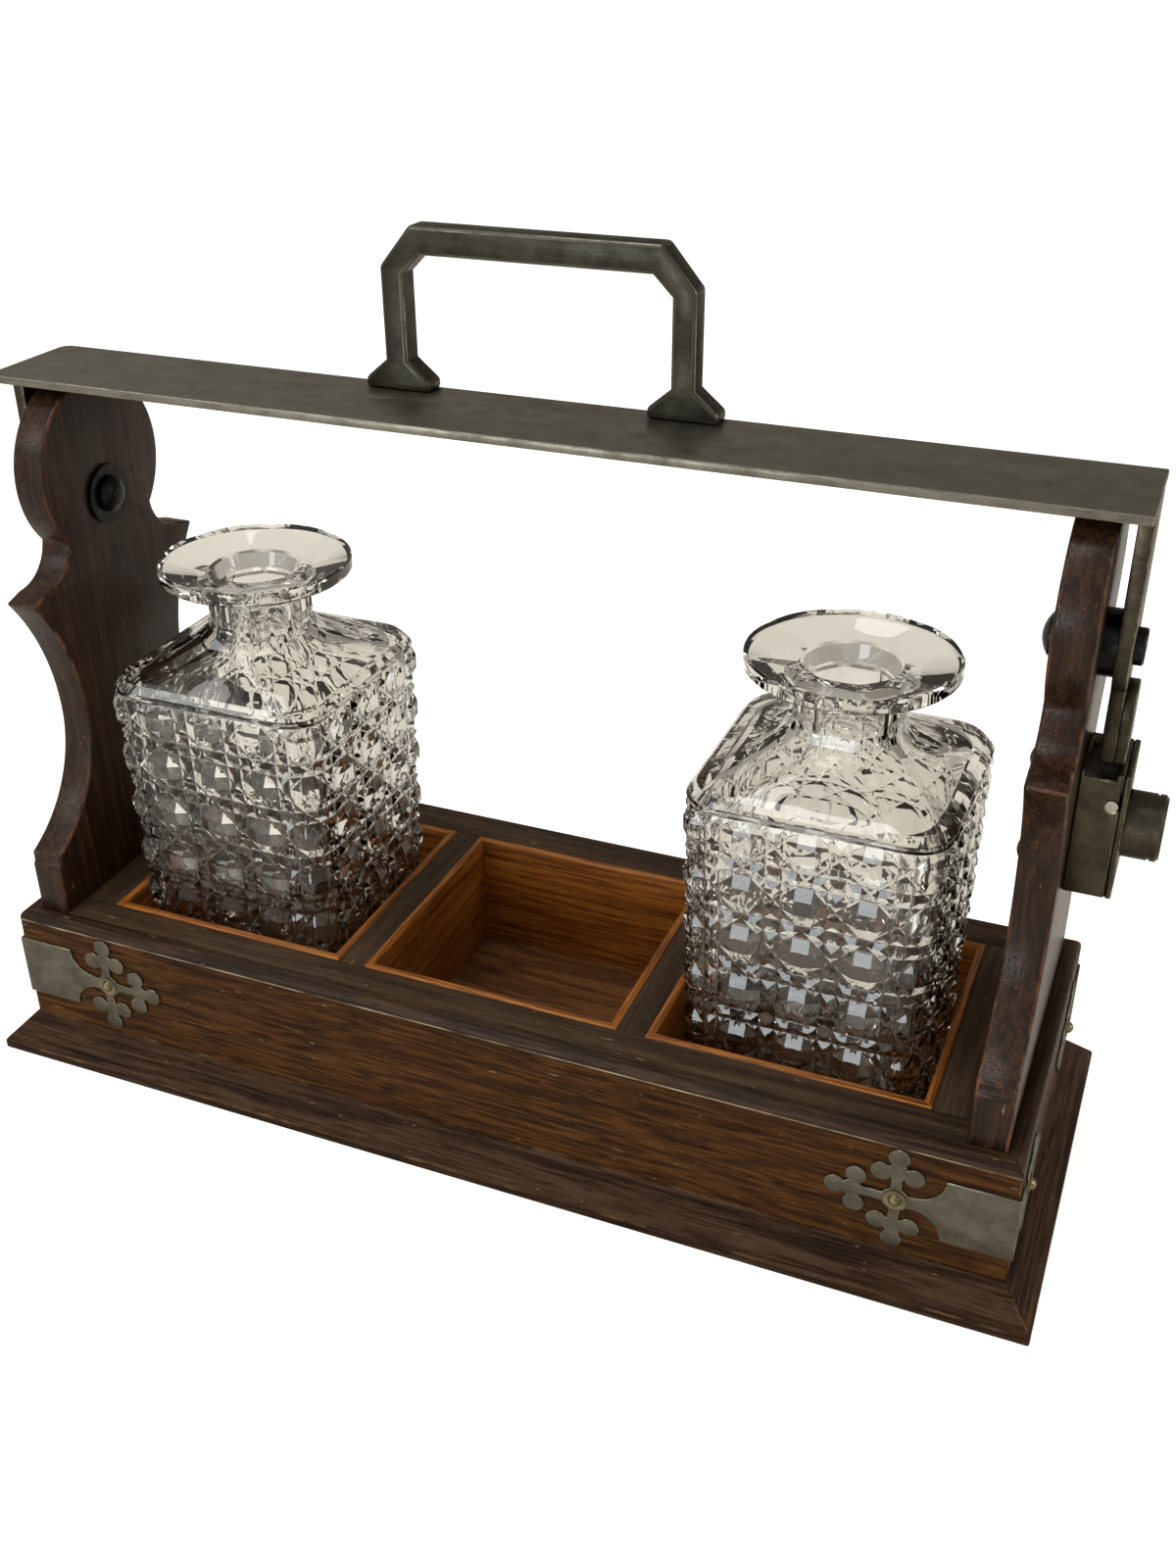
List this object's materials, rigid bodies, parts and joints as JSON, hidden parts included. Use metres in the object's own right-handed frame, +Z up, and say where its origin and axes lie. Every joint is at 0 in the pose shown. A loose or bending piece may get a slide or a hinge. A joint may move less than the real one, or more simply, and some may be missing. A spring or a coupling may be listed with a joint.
{
  "type": "tantalus",
  "caption": "Lined oak stand with a locking, swinging carrying bar over three compartments, holding square cut-glass decanters.",
  "frame": {"origin": "middle of the plinth's underside, below the middle of the box", "axes": "+X along the box towards the lock's side, +Y towards the back, +Z up"},
  "size_m": [0.3891, 0.1456, 0.293],
  "materials": {
    "dark_oak": "waxed dark oak with an open grain",
    "oak_front": "waxed medium oak with dark grain",
    "golden_oak": "lighter oak, thin finish",
    "red_oak": "dark reddish oak, worn shine",
    "dark_nickel": "old nickel plate, dull and dark",
    "worn_nickel": "old nickel plate, rubbed",
    "brass": "brass showing through worn plate",
    "black_steel": "blackened steel",
    "crystal": "clear cut lead crystal"
  },
  "bodies": {
    "base": {"plinth_front": "dark_oak", "plinth_right": "dark_oak", "plinth_back": "dark_oak", "plinth_left": "dark_oak", "floor_board": "golden_oak", "wall_front": "oak_front", "wall_right": "oak_front", "wall_back": "oak_front", "wall_left": "oak_front", "deck_front_rail": "dark_oak", "deck_back_rail": "dark_oak", "deck_left_end": "dark_oak", "deck_right_end": "dark_oak", "divider_left": "dark_oak", "divider_right": "dark_oak", "liner_left_front": "golden_oak", "liner_left_right": "golden_oak", "liner_left_back": "golden_oak", "liner_left_left": "golden_oak", "liner_middle_front": "golden_oak", "liner_middle_right": "golden_oak", "liner_middle_back": "golden_oak", "liner_middle_left": "golden_oak", "liner_right_front": "golden_oak", "liner_right_right": "golden_oak", "liner_right_back": "golden_oak", "liner_right_left": "golden_oak", "upright_left": "red_oak", "upright_right": "red_oak", "strap_front_left": "worn_nickel", "strap_front_right": "worn_nickel", "strap_back_left": "worn_nickel", "strap_back_right": "worn_nickel", "strap_pins": "brass", "pivot_bolts": "black_steel", "pivot_spacers": "black_steel", "pivot_washers": "black_steel", "pivot_nuts": "black_steel", "lock_case": "dark_nickel", "lock_cover": "dark_nickel", "lock_case_pin": "worn_nickel", "lock_screws": "dark_nickel"},
    "decanter_left": {"decanter_left": "crystal"},
    "decanter_right": {"decanter_right": "crystal"},
    "lock_button": {"lock_button": "dark_nickel"},
    "lock_plug": {"lock_plug": "brass"},
    "lock_bolt": {"lock_bolt": "brass"},
    "carrying_frame": {"carrying_bar": "dark_nickel", "left_arm": "dark_nickel", "right_arm": "dark_nickel", "hasp_block": "dark_nickel", "handle": "dark_nickel", "handle_screws": "brass"}
  },
  "joints": [
    {"name": "bar_swing", "type": "hinge", "parent": "base", "child": "carrying_frame", "pos_m": [0, 0, 0.198], "axis": [-1, 0, 0], "range_deg": [0, 93]},
    {"name": "decanter_left_lift", "type": "slide", "parent": "base", "child": "decanter_left", "axis": [0, 0, 1], "range_m": [0, 0.03]},
    {"name": "decanter_right_lift", "type": "slide", "parent": "base", "child": "decanter_right", "axis": [0, 0, 1], "range_m": [0, 0.03]},
    {"name": "button_press", "type": "slide", "parent": "base", "child": "lock_button", "axis": [-1, 0, 0], "range_m": [0, 0.0065], "stiffness_N_per_m": 500, "springref_m": -0.005},
    {"name": "bolt_rise", "type": "slide", "parent": "base", "child": "lock_bolt", "axis": [0, 0, 1], "range_m": [0, 0.0065]},
    {"name": "plug_turn", "type": "hinge", "parent": "lock_button", "child": "lock_plug", "pos_m": [0.196, 0, 0.1424], "axis": [1, 0, 0], "range_deg": [0, 90]}
  ],
  "couplings": [
    {"joint": "bolt_rise", "follows": "button_press", "ratio": 1}
  ]
}
